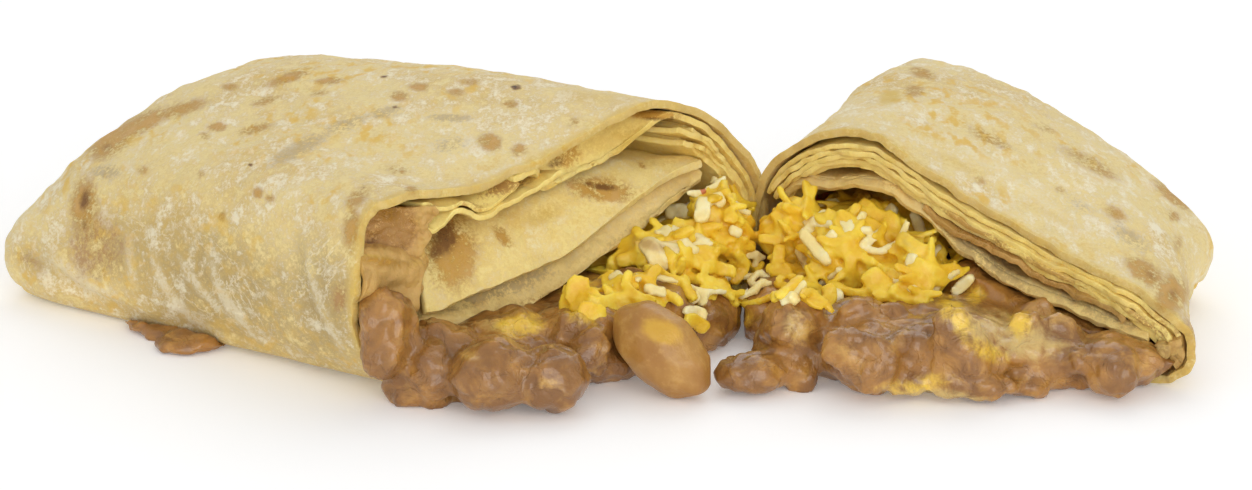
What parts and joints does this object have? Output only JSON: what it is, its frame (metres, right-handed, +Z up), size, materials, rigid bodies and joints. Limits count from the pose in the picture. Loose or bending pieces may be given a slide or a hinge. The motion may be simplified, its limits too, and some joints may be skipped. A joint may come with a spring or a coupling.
{
  "type": "burrito",
  "caption": "Bean and cheese burrito cut almost through on a slant and opened like a V, showing folded tortilla layers, refried beans and shredded cheese.",
  "frame": {"origin": "on the surface it rests on, under the middle of the box round both halves", "axes": "+X from the long half's closed end to the short half's side, +Y away from the open side of the V, +Z up"},
  "size_m": [0.1884, 0.1153, 0.0345],
  "materials": {
    "tortilla": "soft floury flour tortilla, cream with toasted patches and grey steamed marks",
    "tortilla_inner": "steamed inner tortilla, moist and slightly see-through at its edges",
    "bean_mash": "wet refried pinto beans",
    "whole_bean": "smooth cooked pinto bean skin, moist",
    "cheese_yellow": "soft yellow shredded cheese, partly melted",
    "cheese_white": "soft white shredded cheese, partly melted"
  },
  "bodies": {
    "root": {"tortilla_wrap": "tortilla", "second_turn_left": "tortilla_inner", "third_turn_left": "tortilla_inner", "fourth_turn_left": "tortilla_inner", "ruffled_turn_left": "tortilla_inner", "side_turn_left": "tortilla_inner", "lining_left": "tortilla_inner", "inner_fold": "tortilla_inner", "second_turn_right": "tortilla_inner", "third_turn_right": "tortilla_inner", "fourth_turn_right": "tortilla_inner", "lining_right": "tortilla_inner", "beans_left": "bean_mash", "beans_right": "bean_mash", "bean_smear": "bean_mash", "cheese_left": "cheese_yellow", "cheese_right": "cheese_yellow", "bean_whole": "whole_bean", "bean_pair_left": "bean_mash", "bean_pair_right": "bean_mash", "bean_right_front": "bean_mash", "bean_right_middle": "bean_mash", "bean_right_corner": "bean_mash"}
  },
  "joints": []
}
